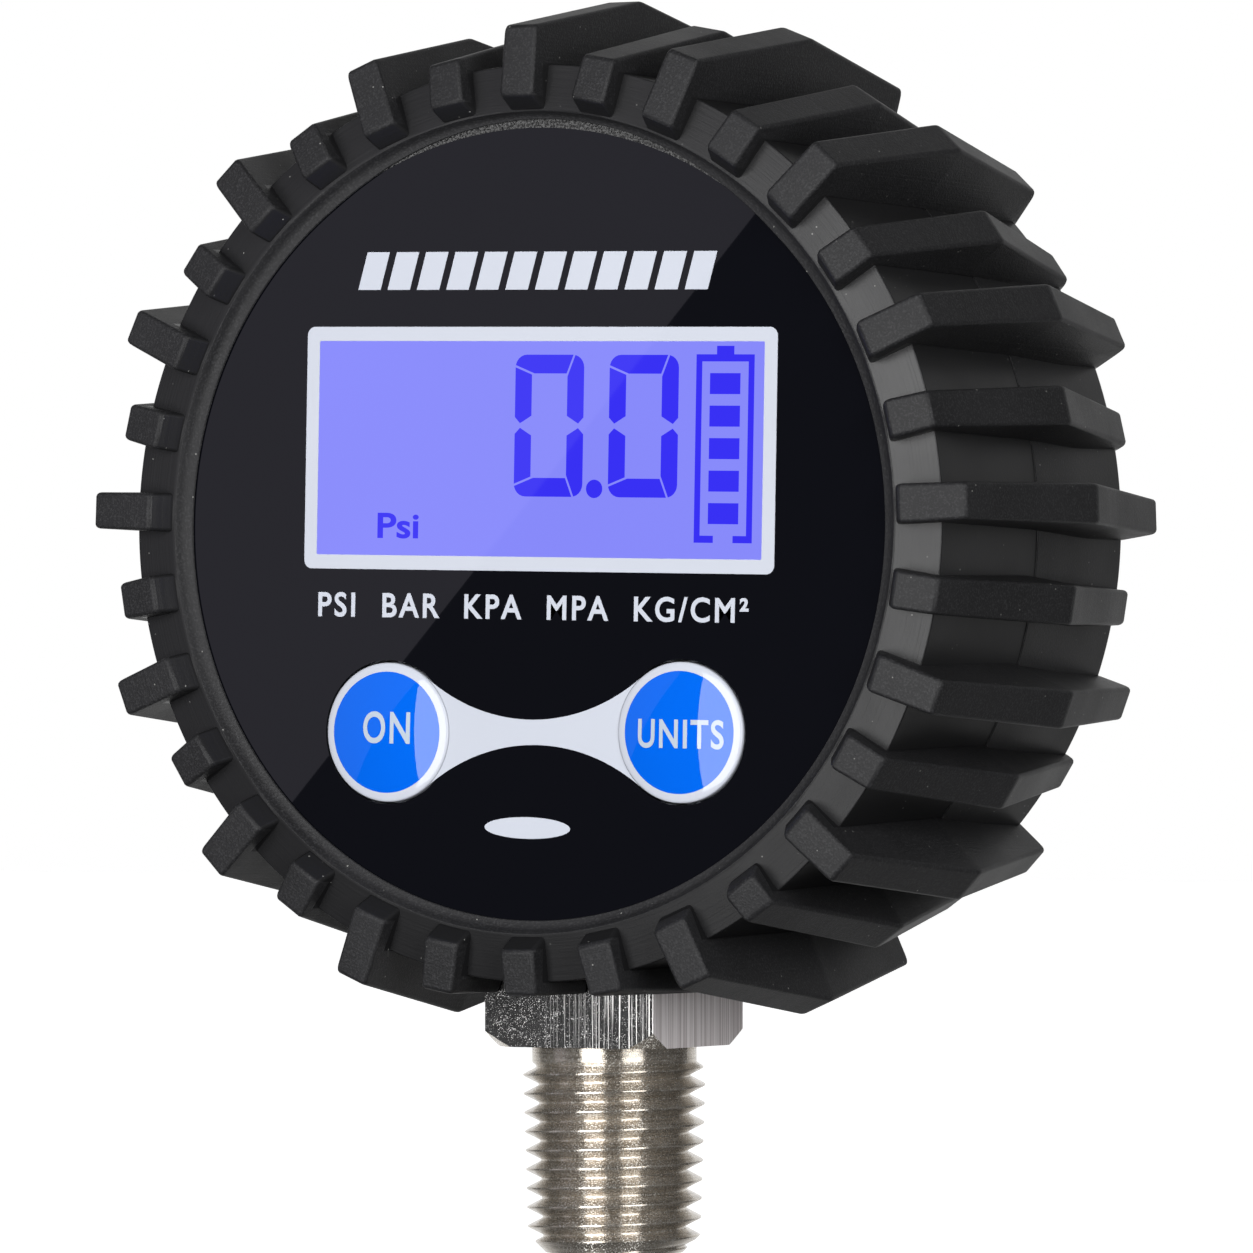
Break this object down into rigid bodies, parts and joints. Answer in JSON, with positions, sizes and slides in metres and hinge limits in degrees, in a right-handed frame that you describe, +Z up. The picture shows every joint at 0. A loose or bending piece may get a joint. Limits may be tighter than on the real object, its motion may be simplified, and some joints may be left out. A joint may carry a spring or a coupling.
{
  "type": "tire pressure gauge",
  "caption": "Round digital tire pressure gauge with a ribbed rubber boot, backlit display, push buttons, a battery door at the back and a threaded bottom stem.",
  "frame": {"origin": "on the stem's axis, at the lower face of its square wrench block", "axes": "+X to the right as the dial is read, +Y from the dial to the back, +Z up along the stem"},
  "size_m": [0.0786, 0.0331, 0.0935],
  "materials": {
    "boot_rubber": "moulded matte black rubber",
    "case_plastic": "fine sand-textured black ABS",
    "door_plastic": "fine sand-textured black ABS",
    "face_gloss": "second-surface printed gloss black polycarbonate",
    "lcd": "backlit blue liquid-crystal display",
    "button_gloss": "domed clear resin over a blue print",
    "holder_white": "white ABS",
    "elastomer": "striped conductive elastomer",
    "light_guide": "clear acrylic",
    "led_white": "white LED package",
    "film_white": "white reflector film",
    "switch_black": "black nylon",
    "board_green": "glass-epoxy board with green solder mask",
    "chip_black": "black moulded package",
    "component_tan": "ceramic chip parts",
    "cell_jacket": "printed steel jacket",
    "spring_steel": "nickel-plated spring steel",
    "screw_steel": "zinc-plated steel",
    "nickel_brass": "nickel-plated turned brass",
    "brass_bare": "turned brass",
    "washer_fibre": "red vulcanised fibre",
    "seal_rubber": "nitrile rubber",
    "sensor_steel": "stainless steel",
    "flex_amber": "polyimide flexible strip"
  },
  "bodies": {
    "case": {"rubber_boot": "boot_rubber", "rear_case": "case_plastic", "front_bezel": "case_plastic", "face_panel": "face_gloss", "lcd_glass": "lcd", "lcd_holder": "holder_white", "zebra_strips": "elastomer", "backlight_panel": "light_guide", "backlight_leds": "led_white", "backlight_reflector": "film_white", "on_switch": "switch_black", "units_switch": "switch_black", "circuit_board": "board_green", "controller_chip": "chip_black", "board_components": "component_tan", "upper_cell": "cell_jacket", "lower_cell": "cell_jacket", "contact_springs": "spring_steel", "bridge_contact": "spring_steel", "positive_contact": "spring_steel", "negative_contact": "spring_steel", "case_screws": "screw_steel", "stem": "nickel_brass", "stem_nut": "brass_bare", "stem_washer": "washer_fibre", "sensor_oring": "seal_rubber", "pressure_sensor": "sensor_steel", "sensor_ring": "brass_bare", "sensor_flex": "flex_amber"},
    "on_button": {"on_button": "button_gloss", "on_switch_plunger": "switch_black"},
    "units_button": {"units_button": "button_gloss", "units_switch_plunger": "switch_black"},
    "battery_door": {"battery_door": "door_plastic", "door_screws": "screw_steel"}
  },
  "joints": [
    {"name": "on_press", "type": "slide", "parent": "case", "child": "on_button", "axis": [0, 1, 0], "range_m": [0, 0.00025], "stiffness_N_per_m": 2000},
    {"name": "units_press", "type": "slide", "parent": "case", "child": "units_button", "axis": [0, 1, 0], "range_m": [0, 0.00025], "stiffness_N_per_m": 2000},
    {"name": "battery_door_lift", "type": "slide", "parent": "case", "child": "battery_door", "axis": [0, 1, 0], "range_m": [0, 0.02]}
  ]
}
